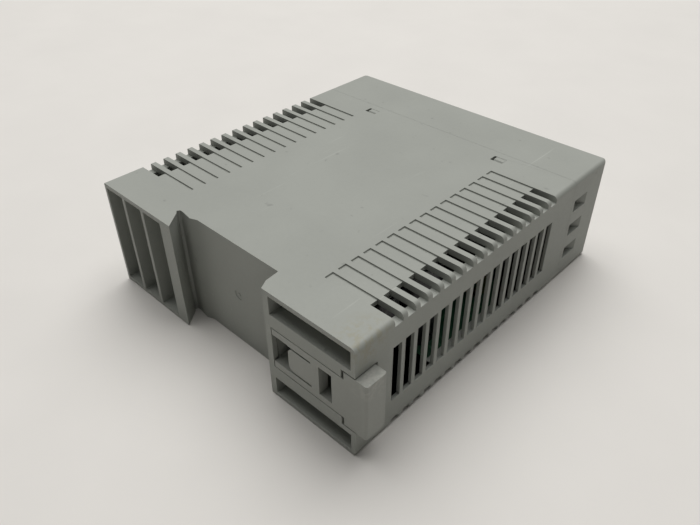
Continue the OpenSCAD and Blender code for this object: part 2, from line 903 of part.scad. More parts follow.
module heatsink(x) {
    color(aluminium) translate([x, sink_y, 0]) difference() {
        union() {
            span([-sink_len / 2, 0, deck_z], [sink_len / 2, sink_t, deck_z + sink_h]);
            for (s = [-1, 1])
                translate([s * (sink_len - sink_t) / 2, 0, 0])
                    span([-sink_t / 2, 0, deck_z], [sink_t / 2, fin_d, deck_z + sink_h]);
        }
        translate([0, -over, hole_z]) rotate([-90, 0, 0]) cylinder(r = tie_r + run_gap, h = sink_t + 2 * over);
    }
}

module power_device(x) {
    leg_w = 0.8;
    leg_t = 0.6;
    color(black) translate([x, sink_y + sink_t, 0]) {
        span([-case_w / 2, 0, deck_z + case_foot], [case_w / 2, case_t, hole_z - case_below]);
        difference() {
            span([-case_w / 2, 0, deck_z + case_foot], [case_w / 2, tab_t, hole_z + tab_above]);
            translate([0, -over, hole_z]) rotate([-90, 0, 0])
                cylinder(r = tie_r + run_gap, h = tab_t + 2 * over);
        }
        for (k = [-1 : 1]) translate([k * lead_pitch, case_t / 2, 0])
            span([-leg_w / 2, -leg_t / 2, deck_z], [leg_w / 2, leg_t / 2, deck_z + case_foot + 0.5]);
    }
}

module heatsink_screws() {
    color(steel) for (x = [switch_x, rectifier_x])
        translate([x, sink_y, hole_z]) rotate([-90, 0, 0]) {
            cylinder(r = tie_r, h = sink_t + tab_t + 0.1);
            translate([0, 0, sink_t + tab_t]) cylinder(r = tie_head_r, h = tie_head_t);
        }
}

// ---------- Transformer ----------

tr_x = x_mid - 1;
tr_y = cavity_y + 30;
leg_r = 4;
tube_t = 0.9;
coil_r = 10;
window_h = 14;
yoke_t = 4;
core_w = 12;
core_half = 15;
tr_z = deck_z + 3.5;
flange_t = 1;
flange_out = 0.4;
foot_half = 10;
foot_w = 4;
foot_gap = 0.2;

module transformer_bobbin() {
    color([0.12, 0.12, 0.12]) translate([tr_x, tr_y, 0]) difference() {
        union() {
            translate([0, 0, tr_z + yoke_t]) cylinder(r = leg_r + run_gap + tube_t, h = window_h);
            for (z = [0, window_h - flange_t])
                translate([0, 0, tr_z + yoke_t + z]) cylinder(r = coil_r + flange_out, h = flange_t);
            for (s = [-1, 1]) translate([0, s * (core_w / 2 + foot_gap + foot_w / 2), 0])
                span([-foot_half, -foot_w / 2, deck_z], [foot_half, foot_w / 2, tr_z + yoke_t + flange_t]);
        }
        translate([0, 0, tr_z]) cylinder(r = leg_r + run_gap, h = 3 * window_h);
    }
}

module transformer_winding() {
    color([0.80, 0.65, 0.20]) translate([tr_x, tr_y, tr_z + yoke_t + flange_t]) difference() {
        cylinder(r = coil_r, h = window_h - 2 * flange_t);
        translate([0, 0, -over]) cylinder(r = leg_r + run_gap + tube_t, h = window_h + over);
    }
}

// One half of the core: yoke, round centre leg and two outer legs
module core_half_body() {
    outer_leg = core_half - coil_r - 0.8;
    span([-core_half, -core_w / 2, 0], [core_half, core_w / 2, yoke_t]);
    cylinder(r = leg_r, h = yoke_t + window_h / 2);
    for (s = [0, 1]) mirror([s, 0, 0])
        span([core_half - outer_leg, -core_w / 2, 0], [core_half, core_w / 2, yoke_t + window_h / 2]);
}

module transformer_core_lower() {
    color(ferrite) translate([tr_x, tr_y, tr_z]) core_half_body();
}

module transformer_core_upper() {
    color(ferrite) translate([tr_x, tr_y, tr_z + 2 * yoke_t + window_h]) mirror([0, 0, 1]) core_half_body();
}

// ---------- Output side ----------

out_side = 4;
out_rear = 12;
out_gap = 3;
out_x = xi_lo + out_side + out_dia / 2;

module output_capacitor(k) {
    color(sleeve) translate([out_x, cavity_y + out_rear + k * (out_dia + out_gap), 0])
        can_capacitor(out_dia, out_len);
}

out_choke_x = x_mid - 30;
out_choke_y = front_board_y - 11;
out_choke_ro = 7;
out_choke_ri = 3.8;
out_choke_t = 6;
out_wire = 1;
out_choke_z = deck_z + out_choke_ro + out_wire;

module output_choke_core() {
    color([0.80, 0.75, 0.30]) translate([out_choke_x, out_choke_y, out_choke_z]) rotate([90, 0, 0])
        difference() {
            translate([0, 0, -out_choke_t / 2]) cylinder(r = out_choke_ro, h = out_choke_t);
            translate([0, 0, -out_choke_t / 2 - over]) cylinder(r = out_choke_ri, h = out_choke_t + 2 * over);
        }
}

module output_choke_winding() {
    sweep = 300;
    color(copper) translate([out_choke_x, out_choke_y, out_choke_z]) rotate([90, 0, 0])
        wound_band(out_choke_ro, out_choke_ri, out_choke_t, out_wire, 90 - sweep / 2 + 180, sweep);
}

// Chip in a plastic case with two rows of bent legs
module dip_chip(len, legs) {
    half_w = 3.2;
    chip_foot = 0.6;
    chip_top = 4;
    leg_half = 0.3;
    leg_h = 2.5;
    span([-len / 2, -half_w, deck_z + chip_foot], [len / 2, half_w, deck_z + chip_top]);
    for (s = [0, 1], k = [0 : legs - 1]) mirror([0, s, 0])
        translate([(k - (legs - 1) / 2) * lead_pitch, half_w, 0])
            span([-leg_half, -leg_half, deck_z], [leg_half, leg_half, deck_z + leg_h]);
}

opto_x = x_mid - 14;
opto_y = front_board_y - 24;
opto_len = 4.8;

module optocoupler() {
    color([0.92, 0.92, 0.88]) translate([opto_x, opto_y, 0]) dip_chip(opto_len, 2);
}

chip_x = x_mid - 5;
chip_y = front_board_y - 30;
chip_len = 9.6;

module control_chip() {
    color(black) translate([chip_x, chip_y, 0]) dip_chip(chip_len, 4);
}

resistor_x = x_mid - 26;
resistor_y = front_board_y - 34;
resistor_pitch = 4.5;
resistor_r = 1.7;
resistor_len = 9;
resistor_z = 2.2;

// Resistors standing off the board on their wires
module power_resistors() {
    color([0.45, 0.62, 0.66]) for (k = [0 : 3])
        translate([resistor_x + resistor_pitch * k, resistor_y, 0]) {
            translate([0, -resistor_len / 2, deck_z + resistor_z]) rotate([-90, 0, 0])
                cylinder(r = resistor_r, h = resistor_len);
            for (s = [-1, 1]) translate([0, s * (resistor_len / 2 - 0.5), 0]) upright(wire_r, resistor_z);
        }
}

// ---------- Output voltage trimmer ----------

trim_floor = 1;
trim_below = 0.6;
trim_slot_d = 0.8;
trim_slot_w = 0.8;

module trimmer_body() {
    color([0.15, 0.30, 0.65]) translate([trim_x, term_y, trim_z]) difference() {
        span([-trim_side / 2, 0, -trim_side / 2], [trim_side / 2, trim_len, trim_side / 2]);
        translate([0, trim_floor, 0]) rotate([-90, 0, 0]) cylinder(r = trim_r + run_gap, h = trim_len);
    }
}

module trimmer_rotor() {
    shaft = y_front - trim_below - term_y - trim_floor;
    color([0.92, 0.92, 0.90]) translate([trim_x, term_y + trim_floor, trim_z]) difference() {
        rotate([-90, 0, 0]) cylinder(r = trim_r, h = shaft);
        span([-trim_r - over, shaft - trim_slot_d, -trim_slot_w / 2],
            [trim_r + over, shaft + over, trim_slot_w / 2]);
    }
}

// ---------- Nodes ----------

housing();
front_cap();
din_latch();
marking_plate();
led_lens();
status_led();
main_board();
front_board();
board_header();
insulating_sheet();
terminal_body(0);  // input_terminal_body
terminal_body(1);  // output_terminal_body
contacts(0);  // input_contacts
contacts(1);  // output_contacts
for (i = [1 : poles]) {
    clamp_cage(0, i);
    clamp_cage(1, i);
    terminal_screw(0, i);
    terminal_screw(1, i);
}
fuse_tube();
fuse_caps();
fuse_clips();
inrush_thermistor();
varistor();
x_capacitor();
y_capacitors();
line_choke_base();
line_choke_core();
line_choke_windings();
bridge_rectifier();
bulk_capacitor(1);  // bulk_capacitor_1
bulk_capacitor(2);  // bulk_capacitor_2
power_device(switch_x);  // switching_transistor
heatsink(switch_x);  // transistor_heatsink
heatsink_screws();
transformer_bobbin();
transformer_winding();
transformer_core_lower();
transformer_core_upper();
power_device(rectifier_x);  // output_rectifier
heatsink(rectifier_x);  // output_heatsink
for (k = [1 : 3])
    output_capacitor(k);
output_choke_core();
output_choke_winding();
optocoupler();
control_chip();
power_resistors();
trimmer_body();
trimmer_rotor();
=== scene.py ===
"""Looks of a slim DIN rail power supply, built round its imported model.

Every length in a class field is in millimetres, and mm() turns it into metres for a mesh. Places
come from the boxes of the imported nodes, so each piece follows the part that it dresses.
"""

import json
import logging
import math
from dataclasses import dataclass, field
from enum import Enum

import bmesh
import bpy
import numpy as np
from mathutils import Matrix, Vector

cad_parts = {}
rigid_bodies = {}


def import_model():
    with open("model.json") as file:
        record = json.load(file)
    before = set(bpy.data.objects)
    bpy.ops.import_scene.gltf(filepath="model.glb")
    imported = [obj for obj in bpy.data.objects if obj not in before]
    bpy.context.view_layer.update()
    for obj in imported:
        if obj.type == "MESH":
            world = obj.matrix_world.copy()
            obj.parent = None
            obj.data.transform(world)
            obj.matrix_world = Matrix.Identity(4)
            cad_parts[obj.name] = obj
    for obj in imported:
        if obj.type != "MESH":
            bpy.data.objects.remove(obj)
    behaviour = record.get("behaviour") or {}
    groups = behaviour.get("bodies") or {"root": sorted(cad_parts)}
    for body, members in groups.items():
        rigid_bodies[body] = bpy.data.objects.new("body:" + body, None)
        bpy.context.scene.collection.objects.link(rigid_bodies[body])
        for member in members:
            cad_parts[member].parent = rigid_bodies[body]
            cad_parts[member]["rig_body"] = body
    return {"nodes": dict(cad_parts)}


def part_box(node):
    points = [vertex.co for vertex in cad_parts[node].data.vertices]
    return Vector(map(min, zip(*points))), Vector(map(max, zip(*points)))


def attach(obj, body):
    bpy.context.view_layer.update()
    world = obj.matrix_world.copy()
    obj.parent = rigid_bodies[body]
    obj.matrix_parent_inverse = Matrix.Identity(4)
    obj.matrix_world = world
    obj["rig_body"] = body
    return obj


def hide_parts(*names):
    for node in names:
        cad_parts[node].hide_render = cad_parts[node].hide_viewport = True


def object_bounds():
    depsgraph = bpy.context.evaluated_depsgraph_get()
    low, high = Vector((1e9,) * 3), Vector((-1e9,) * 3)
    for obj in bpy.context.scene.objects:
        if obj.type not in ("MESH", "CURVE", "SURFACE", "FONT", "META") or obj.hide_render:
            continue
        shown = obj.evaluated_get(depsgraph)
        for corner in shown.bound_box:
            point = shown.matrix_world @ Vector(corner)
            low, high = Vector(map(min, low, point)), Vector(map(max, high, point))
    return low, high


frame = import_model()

log = logging.getLogger("power_supply")
CAD_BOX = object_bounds()
MILLI = 0.001

Socket = bpy.types.NodeSocket
Colour = tuple[float, float, float]
Point = tuple[float, float, float]
Faces = list[list[int]]


def mm(value: float | tuple | np.ndarray) -> float | np.ndarray:
    """Turn millimetres into metres.

    Args:
        value: a number, or a point or array of them.

    Returns:
        The number in metres, or an array of them.
    """
    if isinstance(value, (tuple, np.ndarray)):
        return np.asarray(value, float) * MILLI
    return value * MILLI


def tinted(colour: Colour, factor: float) -> Colour:
    """Colour made lighter or darker by a factor."""
    return tuple(channel * factor for channel in colour)


# ---------- Materials ----------


class Graph:
    """Node graph of one material, written as nested calls.

    A number that says how fine a pattern is counts its cells per metre.
    """

    def __init__(self, name: str) -> None:
        """Start an empty material with a Principled shader.

        Args:
            name: name of the material.
        """
        self.material = bpy.data.materials.new(name)
        self.material.use_nodes = True
        self.tree = self.material.node_tree
        self.shader = self.tree.nodes["Principled BSDF"]
        self.coords = self.add("ShaderNodeTexCoord").outputs["Object"]

    def add(self, kind: str, settings: dict | None = None, **inputs: object) -> bpy.types.Node:
        """Add one node.

        Args:
            kind: Blender's type name of the node.
            settings: properties of the node itself.
            inputs: a value or an output socket for each input. An input's name has underscores
                for its spaces, and an input that goes by number is an underscore and the number.

        Returns:
            The new node.
        """
        node = self.tree.nodes.new(kind)
        for key, value in (settings or {}).items():
            setattr(node, key, value)
        for key, value in inputs.items():
            self.feed(node, int(key[1:]) if key[0] == "_" else key.replace("_", " "), value)
        return node

    def feed(self, node: bpy.types.Node, key: str | int, value: object) -> None:
        """Set or link one input of a node.

        Args:
            node: the node.
            key: name or number of the input.
            value: the output socket to link, or the value to set.
        """
        socket = node.inputs[key]
        if isinstance(value, Socket):
            self.tree.links.new(value, socket)
        elif isinstance(value, tuple) and socket.type == "RGBA":
            socket.default_value = (*value, 1.0)
        else:
            socket.default_value = value

    def set(self, **inputs: object) -> None:
        """Set or link inputs of the Principled shader."""
        for key, value in inputs.items():
            self.feed(self.shader, key.replace("_", " "), value)

    def noise(
        self, scale: float, detail: float = 2.0, rough: float = 0.5, where: Socket | None = None
    ) -> Socket:
        """Add a noise texture.

        Args:
            scale: its cells per metre.
            detail: its octaves.
            rough: how strong each octave is beside the one before it.
            where: the coordinates that it reads, or None for the object's own.

        Returns:
            The noise, about 0.2 to 0.8.
        """
        place = where or self.coords
        node = self.add("ShaderNodeTexNoise", Vector=place, Scale=scale, Detail=detail, Roughness=rough)
        return node.outputs["Fac"]

    def ramp(
        self, factor: Socket, low: float, high: float, to_low: float = 0.0, to_high: float = 1.0
    ) -> Socket:
        """Map low..high of a factor to to_low..to_high, clamped at both ends.

        Args:
            factor: what is mapped.
            low: its value that gives to_low.
            high: its value that gives to_high.
            to_low: result at and below low.
            to_high: result at and above high.

        Returns:
            The mapped value.
        """
        ends = {"From_Min": low, "From_Max": high, "To_Min": to_low, "To_Max": to_high}
        return self.add("ShaderNodeMapRange", Value=factor, **ends).outputs["Result"]

    def middle(self, factor: Socket, to_low: float, to_high: float) -> Socket:
        """Map the middle of a noise, where most of it lies, to to_low..to_high."""
        return self.ramp(factor, 0.3, 0.7, to_low, to_high)

    def maths(self, operation: str, a: Socket, b: Socket | float = 0.0) -> Socket:
        """Result of one operation on a socket and a second socket or number."""
        return self.add("ShaderNodeMath", {"operation": operation}, _0=a, _1=b).outputs[0]

    def within(self, value: Socket, middle: float, half: float) -> Socket:
        """One where a value is closer than half to the middle, and nought elsewhere."""
        off = self.maths("ABSOLUTE", self.maths("SUBTRACT", value, middle))
        return self.maths("LESS_THAN", off, half)

    def mix(self, factor: Socket, a: Socket | Colour, b: Socket | Colour) -> Socket:
        """Colour that goes from a to b as the factor goes from 0 to 1."""
        return self.add("ShaderNodeMix", {"data_type": "RGBA"}, _0=factor, _6=a, _7=b).outputs[2]

    def stretched(self, stretch: Point, turn: float = 0.0) -> Socket:
        """Object coordinates turned about Z and scaled along each axis."""
        spin = (0.0, 0.0, turn)
        return self.add("ShaderNodeMapping", Vector=self.coords, Rotation=spin, Scale=stretch).outputs[0]

    def bump(self, height: Socket, depth: float) -> Socket:
        """Normal of a height of 0..1 that is depth millimetres deep."""
        return self.add("ShaderNodeBump", Height=height, Distance=mm(depth)).outputs["Normal"]

    def axes(self) -> tuple[Socket, ...]:
        """X, Y and Z of the object coordinates."""
        return tuple(self.add("ShaderNodeSeparateXYZ", Vector=self.coords).outputs)


class Grain(Enum):
    """Direction of the drawn or ground lines in a surface, as stretch along each axis."""

    ALONG_X = (0.06, 1.0, 1.0)
    ALONG_Y = (1.0, 0.06, 1.0)
    ALONG_Z = (1.0, 1.0, 0.06)


@dataclass(frozen=True)
class TonePatch:
    """Patch of a moulding in another tone."""

    middle: Point
    radius: float
    tone: Colour
    core: float = 0.3
    blotch: float = 650.0
    strength: float = 0.7

    def over(self, g: Graph, tone: Socket) -> Socket:
        """Lay the patch over a colour.

        It is full within its core, which is a share of its radius, fades out at the radius, and is
        broken up by blotches.

        Args:
            g: the graph of the moulding.
            tone: the colour below.

        Returns:
            The colour with the patch on it.
        """
        middle = tuple(mm(self.middle).tolist())
        away = g.add("ShaderNodeVectorMath", {"operation": "DISTANCE"}, _0=g.coords, _1=middle)
        near = g.ramp(away.outputs["Value"], mm(self.radius * self.core), mm(self.radius), 1.0, 0.0)
        blotch = g.ramp(g.noise(self.blotch, 4.0, 0.65), 0.46, 0.60)
        share = g.maths("MULTIPLY", g.maths("MULTIPLY", near, blotch), self.strength)
        return g.mix(share, tone, self.tone)


@dataclass(frozen=True)
class Moulding:
    """Matt moulded plastic with a fine eroded grain, specks, faint scratches and a patch of another tone.
    """

    name: str
    colour: Colour
    roughness: float = 0.55
    uneven: float = 0.05
    grain: float = 0.35
    grain_depth: float = 0.012
    drift: float = 45.0
    mottle: float = 0.03
    specks: float = 420.0
    speck_tone: float = 0.82
    gloss_drift: float = 900.0
    scratches: float = 0.0
    scratch_fineness: float = 1100.0
    scratch_stretch: Point = (1.0, 0.03, 1.0)
    scratch_turn: float = 0.5
    scratch_patches: float = 38.0
    scratch_tone: float = 1.35
    tone_patch: TonePatch | None = None

    def scratched(self, g: Graph, tone: Socket) -> Socket:
        """Lay scratches over a colour.

        A scratch is a crest of a noise that is stretched along one direction, and shows only
        where a slow noise is high.

        Args:
            g: the graph of the moulding.
            tone: the colour below.

        Returns:
            The colour with scratches on it.
        """
        where = g.stretched(self.scratch_stretch, self.scratch_turn)
        line = g.ramp(g.noise(self.scratch_fineness, 1.0, where=where), 0.70, 0.76)
        patch = g.ramp(g.noise(self.scratch_patches), 0.52, 0.62)
        share = g.maths("MULTIPLY", g.maths("MULTIPLY", line, patch), self.scratches)
        return g.mix(share, tone, tinted(self.colour, self.scratch_tone))

    def material(self) -> bpy.types.Material:
        """Build the plastic.

        Its tone drifts over centimetres, and its grain is a fraction of a millimetre.

        Returns:
            The material.
        """
        g = Graph(self.name)
        drift = g.ramp(g.noise(self.drift, 3.0), 0.35, 0.65)
        tone = g.mix(drift, tinted(self.colour, 1 - self.mottle), tinted(self.colour, 1 + self.mottle))
        speck = g.ramp(g.noise(self.specks, 1.0), 0.74, 0.80)
        tone = g.mix(speck, tone, tinted(self.colour, self.speck_tone))
        if self.scratches:
            tone = self.scratched(g, tone)
        if self.tone_patch:
            tone = self.tone_patch.over(g, tone)
        gloss = g.noise(self.gloss_drift)
        g.set(
            Base_Color=tone,
            Roughness=g.middle(gloss, self.roughness - self.uneven, self.roughness + self.uneven),
            Specular_IOR_Level=0.35,
            Normal=g.bump(g.noise(1 / mm(self.grain)), self.grain_depth),
        )
        return g.material


@dataclass(frozen=True)
class Metal:
    """Bare or plated metal with fine drawn lines and a little tarnish."""

    name: str
    colour: Colour
    roughness: float = 0.3
    smoother: float = 0.06
    rougher: float = 0.08
    line: float = 0.15
    line_depth: float = 0.004
    grain: Grain = Grain.ALONG_X
    tarnish: float = 150.0
    tarnish_tone: float = 0.8

    def material(self) -> bpy.types.Material:
        """Metal whose roughness and height follow lines stretched along one axis."""
        g = Graph(self.name)
        lines = g.noise(1 / mm(self.line), where=g.stretched(self.grain.value))
        tarnish = g.ramp(g.noise(self.tarnish, 3.0), 0.4, 0.7)
        g.set(
            Base_Color=g.mix(tarnish, self.colour, tinted(self.colour, self.tarnish_tone)),
            Metallic=1.0,
            Roughness=g.middle(lines, self.roughness - self.smoother, self.roughness + self.rougher),
            Normal=g.bump(lines, self.line_depth),
        )
        return g.material


@dataclass(frozen=True)
class Laminate:
    """Glass-fibre board under green mask, with copper tracks that show through it."""

    name: str
    colour: Colour = (0.012, 0.060, 0.028)
    track: Colour = (0.022, 0.105, 0.045)
    pitch: float = 2.54
    track_w: float = 0.55
    soft_edge: float = 0.03
    track_h: float = 0.03
    cells: float = 110.0
    bare: float = 0.35

    def bands(self, g: Graph, axis: Socket) -> Socket:
        """Tracks across one axis, one each pitch, with soft edges.

        Args:
            g: the graph of the board.
            axis: the coordinate that the tracks are spaced along.

        Returns:
            One on a track and nought off it.
        """
        cell = g.maths("FRACT", g.maths("DIVIDE", axis, mm(self.pitch)))
        off = g.maths("ABSOLUTE", g.maths("SUBTRACT", cell, 0.5))
        half = self.track_w / self.pitch / 2
        return g.ramp(off, half, half + self.soft_edge, 1.0, 0.0)

    def material(self) -> bpy.types.Material:
        """Build the board.

        The mask is lighter over tracks. They run in X or Y, whichever a coarse cell pattern picks,
        and some cells have none.

        Returns:
            The material.
        """
        g = Graph(self.name)
        x, y, _ = g.axes()
        cells = g.add("ShaderNodeTexVoronoi", {"feature": "F1"}, Vector=g.coords, Scale=self.cells)
        pick = g.add("ShaderNodeSeparateColor", Color=cells.outputs["Color"]).outputs
        along_x = g.maths("GREATER_THAN", pick[0], 0.5)
        laid = g.maths("GREATER_THAN", pick[1], self.bare)
        ways = {"_2": self.bands(g, x), "_3": self.bands(g, y)}
        either = g.add("ShaderNodeMix", {"data_type": "FLOAT"}, _0=along_x, **ways)
        track = g.maths("MULTIPLY", either.outputs[0], laid)
        g.set(
            Base_Color=g.mix(track, self.colour, self.track),
            Roughness=g.middle(g.noise(500.0), 0.28, 0.4),
            Coat_Weight=0.3,
            Coat_Roughness=0.2,
            Normal=g.bump(track, self.track_h),
        )
        return g.material


@dataclass(frozen=True)
class Lacquer:
    """Glossy dipped or moulded coat with a slightly wavy surface."""

    name: str
    colour: Colour
    roughness: float = 0.22
    wave: float = 1.2
    wave_depth: float = 0.03
    dust_tone: Colour = (0.25, 0.24, 0.22)
    dust: float = 0.35
    dust_fineness: float = 700.0
    dust_roughness: float = 0.25

    def material(self) -> bpy.types.Material:
        """Coat with slow waves of a millimetre or so, and a little dust."""
        g = Graph(self.name)
        dust = g.ramp(g.noise(self.dust_fineness, 3.0), 0.55, 0.8, 0.0, self.dust)
        g.set(
            Base_Color=g.mix(dust, self.colour, self.dust_tone),
            Roughness=g.ramp(dust, 0.0, self.dust, self.roughness, self.roughness + self.dust_roughness),
            Coat_Weight=0.4,
            Coat_Roughness=0.12,
            Normal=g.bump(g.noise(1 / mm(self.wave)), self.wave_depth),
        )
        return g.material


@dataclass(frozen=True)
class Sleeve:
    """Shrunk film round a row of cans, with a pale dashed polarity stripe down each."""

    name: str
    centres: tuple[tuple[float, float], ...]
    radius: float
    colour: Colour = (0.010, 0.010, 0.013)
    stripe: Colour = (0.30, 0.31, 0.32)
    stripe_w: float = 3.0
    dash: float = 5.0
    dash_gap: float = 0.3
    lines: float = 1500.0
    line_depth: float = 0.01

    def material(self) -> bpy.types.Material:
        """Build the film.

        It has fine upright shrink lines. The stripe is near a can's middle in Y and far to its low
        X side, and the dashes are shares of a length in Z.

        Returns:
            The material.
        """
        g = Graph(self.name)
        x, y, z = g.axes()
        marks = [
            g.maths("MULTIPLY", g.within(y, mm(cy), mm(self.stripe_w / 2)),
                    g.maths("LESS_THAN", x, mm(cx - self.radius * 0.8)))
            for cx, cy in self.centres
        ]
        mark = marks[0]
        for other in marks[1:]:
            mark = g.maths("MAXIMUM", mark, other)
        dash = g.maths("GREATER_THAN", g.maths("FRACT", g.maths("DIVIDE", z, mm(self.dash))), self.dash_gap)
        lines = g.noise(self.lines, where=g.stretched(Grain.ALONG_Z.value))
        g.set(
            Base_Color=g.mix(g.maths("MULTIPLY", mark, dash), self.colour, self.stripe),
            Roughness=g.middle(lines, 0.25, 0.4),
            Coat_Weight=0.2,
            Coat_Roughness=0.2,
            Normal=g.bump(lines, self.line_depth),
        )
        return g.material


@dataclass(frozen=True)
class Ferrite:
    """Sintered core with ground faces and small pits, bare or under a coat."""

    name: str
    colour: Colour = (0.022, 0.022, 0.025)
    coat: float = 0.0
    grit: float = 2600.0
    pits: float = 600.0
    depth: float = 0.02

    def material(self) -> bpy.types.Material:
        """Granular tone with darker pits."""
        g = Graph(self.name)
        grit = g.noise(self.grit, 3.0)
        pits = g.ramp(g.noise(self.pits), 0.66, 0.72)
        tone = g.mix(grit, tinted(self.colour, 0.75), tinted(self.colour, 1.3))
        g.set(
            Base_Color=g.mix(pits, tone, tinted(self.colour, 0.5)),
            Roughness=g.middle(grit, 0.5, 0.68),
            Coat_Weight=self.coat,
            Coat_Roughness=0.25,
            Normal=g.bump(g.maths("ADD", grit, pits), self.depth),
        )
        return g.material


@dataclass(frozen=True)
class Enamel:
    """Enamelled copper wire."""

    name: str
    colour: Colour = (0.52, 0.16, 0.045)
    drift: float = 300.0
    fineness: float = 1800.0
    depth: float = 0.01

    def material(self) -> bpy.types.Material:
        """Copper under a clear amber coat whose thickness varies slightly."""
        g = Graph(self.name)
        drift = g.noise(self.drift)
        g.set(
            Base_Color=g.mix(drift, tinted(self.colour, 0.7), tinted(self.colour, 1.15)),
            Metallic=0.85,
            Roughness=g.middle(g.noise(self.fineness), 0.2, 0.32),
            Coat_Weight=0.7,
            Coat_Roughness=0.08,
            Normal=g.bump(drift, self.depth),
        )
        return g.material


@dataclass(frozen=True)
class Tape:
    """Polyester tape laid round the coil in overlapping turns."""

    name: str
    colour: Colour = (0.42, 0.28, 0.035)
    lap_tone: float = 0.6
    turn: float = 4.0
    lap: float = 0.04
    wire: float = 0.5
    wire_share: float = 0.3
    depth: float = 0.04

    def material(self) -> bpy.types.Material:
        """Film with a darker edge line each turn and the wire below it as fine ridges in Z."""
        g = Graph(self.name)
        _, _, z = g.axes()
        edge = g.ramp(g.maths("FRACT", g.maths("DIVIDE", z, mm(self.turn))), 0.0, self.lap, 1.0, 0.0)
        ridges = g.maths("SINE", g.maths("MULTIPLY", z, 2 * math.pi / mm(self.wire)))
        g.set(
            Base_Color=g.mix(edge, self.colour, tinted(self.colour, self.lap_tone)),
            Roughness=g.middle(g.noise(500.0), 0.18, 0.3),
            Coat_Weight=0.5,
            Coat_Roughness=0.1,
            Normal=g.bump(g.maths("ADD", g.maths("MULTIPLY", ridges, self.wire_share), edge), self.depth),
        )
        return g.material


@dataclass(frozen=True)
class Banded:
    """Cement-coated resistors with colour bands round each body."""

    name: str
    mid_y: float
    colour: Colour = (0.16, 0.30, 0.33)
    mottle: float = 0.1
    bands: tuple[tuple[float, Colour], ...] = (
        (-2.8, (0.35, 0.10, 0.02)),
        (-1.6, (0.02, 0.02, 0.02)),
        (-0.4, (0.35, 0.22, 0.01)),
        (2.6, (0.45, 0.28, 0.06)),
    )
    band_w: float = 0.7
    grit: float = 2200.0
    grit_depth: float = 0.012

    def material(self) -> bpy.types.Material:
        """Each band is where Y is within half its width of its place."""
        g = Graph(self.name)
        _, y, _ = g.axes()
        pale, deep = tinted(self.colour, 1 + self.mottle), tinted(self.colour, 1 - self.mottle)
        tone = g.mix(g.noise(800.0), deep, pale)
        for place, colour in self.bands:
            tone = g.mix(g.within(y, mm(self.mid_y + place), mm(self.band_w / 2)), tone, colour)
        g.set(Base_Color=tone, Roughness=0.42, Normal=g.bump(g.noise(self.grit), self.grit_depth))
        return g.material


@dataclass(frozen=True)
class Clear:
    """Glass or clear plastic with a faint flow pattern."""

    name: str
    colour: Colour
    roughness: float = 0.05
    uneven: float = 0.04
    ior: float = 1.5
    ripple: float = 250.0
    ripple_tone: float = 0.93
    ripple_depth: float = 0.01

    def material(self) -> bpy.types.Material:
        """Fully transmitting surface with slow ripples."""
        g = Graph(self.name)
        ripple = g.noise(self.ripple, 1.0)
        g.set(
            Base_Color=g.mix(ripple, self.colour, tinted(self.colour, self.ripple_tone)),
            Roughness=g.middle(ripple, self.roughness, self.roughness + self.uneven),
            Transmission_Weight=1.0,
            IOR=self.ior,
            Normal=g.bump(ripple, self.ripple_depth),
        )
        return g.material


def dress(piece: bpy.types.Object, material: bpy.types.Material) -> None:
    """Give a piece one material in place of any that it has."""
    piece.data.materials.clear()
    piece.data.materials.append(material)


def dress_nodes(material: bpy.types.Material, *names: str) -> None:
    """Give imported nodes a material, and report each.

    Args:
        material: the finish that they share.
        names: the nodes.
    """
    for name in names:
        for slot in frame["nodes"][name].material_slots:
            slot.material = material
        log.info("%s: %s", name, material.name)


# ---------- Surfaces ----------


def centre(node: str) -> np.ndarray:
    """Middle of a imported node's box in millimetres."""
    return np.array(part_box(node)).mean(axis=0) / MILLI


def top(node: str) -> float:
    """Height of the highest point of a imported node, in millimetres."""
    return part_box(node)[1].z / MILLI


def wrapped_quads(rows: int, cols: int, closed_rows: bool, copies: int = 1) -> np.ndarray:
    """Corners of the quads on a grid that closes along its columns.

    Args:
        rows: points along the first parameter.
        cols: points along the second parameter, which always closes.
        closed_rows: whether the first parameter closes too.
        copies: how many such grids follow each other in the list of points.

    Returns:
        One row of four point numbers for each quad.
    """
    i, j = np.meshgrid(np.arange(rows if closed_rows else rows - 1), np.arange(cols), indexing="ij")
    k, m = (i + 1) % rows, (j + 1) % cols
    quads = np.stack((i * cols + j, i * cols + m, k * cols + m, k * cols + j), -1).reshape(-1, 4)
    shift = np.arange(copies)[:, None, None] * rows * cols
    return (quads[None] + shift).reshape(-1, 4)


def capped_stacks(rows: int, cols: int, copies: int) -> Faces:
    """Faces of stacks of rings, with one face over the first and the last ring of each.

    Args:
        rows: rings in a stack.
        cols: points in a ring.
        copies: how many stacks follow each other in the list of points.

    Returns:
        Point numbers of each face.
    """
    first = np.arange(copies)[:, None] * rows * cols + np.arange(cols)
    caps = np.concatenate((first, first + (rows - 1) * cols))
    return wrapped_quads(rows, cols, False, copies).tolist() + caps.tolist()


def make_piece(
    name: str,
    points: np.ndarray,
    faces: Faces,
    material: bpy.types.Material,
    smooth: bool = True,
) -> bpy.types.Object:
    """Mesh piece that rides on the enclosure's body.

    Args:
        name: name of the piece.
        points: its points in millimetres, in an array whose last axis is X, Y, Z.
        faces: point numbers of each face.
        material: its finish.
        smooth: whether its faces are shaded as one curved surface.

    Returns:
        The new piece.
    """
    mesh = bpy.data.meshes.new(name)
    mesh.from_pydata(mm(points.reshape(-1, 3)).tolist(), [], faces)
    bm = bmesh.new()
    bm.from_mesh(mesh)
    bmesh.ops.recalc_face_normals(bm, faces=bm.faces)
    bm.to_mesh(mesh)
    bm.free()
    mesh.polygons.foreach_set("use_smooth", np.full(len(mesh.polygons), smooth))
    piece = bpy.data.objects.new(name, mesh)
    bpy.context.scene.collection.objects.link(piece)
    dress(piece, material)
    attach(piece, "root")
    log.info("%s: %d faces", name, len(mesh.polygons))
    return piece


